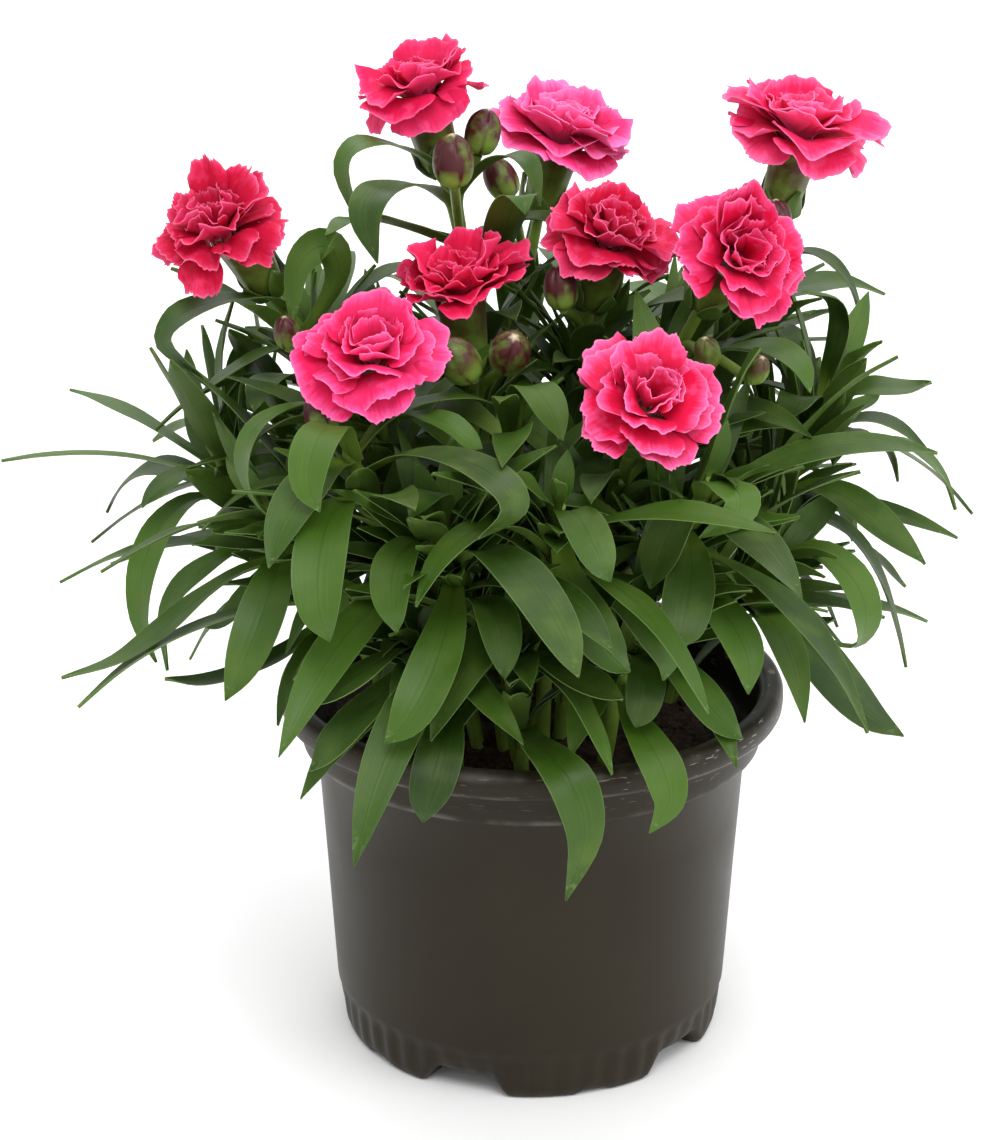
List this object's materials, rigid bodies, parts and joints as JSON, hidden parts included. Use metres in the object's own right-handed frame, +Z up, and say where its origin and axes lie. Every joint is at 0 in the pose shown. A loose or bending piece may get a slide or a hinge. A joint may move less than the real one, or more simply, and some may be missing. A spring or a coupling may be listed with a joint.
{
  "type": "potted carnation plant",
  "caption": "Pot carnation: a bushy plant with strap-shaped leaves, ruffled pink blooms and closed buds, growing in soil in a round plastic nursery pot with a rolled rim and notched foot.",
  "frame": {"origin": "middle of the pot's underside, on the surface that the pot stands on", "axes": "+Z up, -Y is the front, from which most blooms are seen face on, +X to the right in that view"},
  "size_m": [0.2618, 0.2333, 0.2759],
  "materials": {
    "plastic": "black polypropylene with a soft sheen",
    "peat": "loose damp peat",
    "leaf": "smooth leaf with a thin wax bloom",
    "petal": "soft velvety petal"
  },
  "bodies": {
    "root": {"flower_stem_1": "leaf", "flower_stem_2": "leaf", "flower_stem_3": "leaf", "flower_stem_4": "leaf", "flower_stem_5": "leaf", "flower_stem_6": "leaf", "flower_stem_7": "leaf", "flower_stem_8": "leaf", "flower_stem_9": "leaf", "leafy_shoot_1": "leaf", "leafy_shoot_10": "leaf", "leafy_shoot_11": "leaf", "leafy_shoot_12": "leaf", "leafy_shoot_13": "leaf", "leafy_shoot_14": "leaf", "leafy_shoot_15": "leaf", "leafy_shoot_16": "leaf", "leafy_shoot_17": "leaf", "leafy_shoot_18": "leaf", "leafy_shoot_19": "leaf", "leafy_shoot_2": "leaf", "leafy_shoot_20": "leaf", "leafy_shoot_21": "leaf", "leafy_shoot_22": "leaf", "leafy_shoot_3": "leaf", "leafy_shoot_4": "leaf", "leafy_shoot_5": "leaf", "leafy_shoot_6": "leaf", "leafy_shoot_7": "leaf", "leafy_shoot_8": "leaf", "leafy_shoot_9": "leaf", "petals_1": "petal", "petals_2": "petal", "petals_3": "petal", "petals_4": "petal", "petals_5": "petal", "petals_6": "petal", "petals_7": "petal", "petals_8": "petal", "petals_9": "petal", "pot": "plastic", "soil": "peat"}
  },
  "joints": []
}
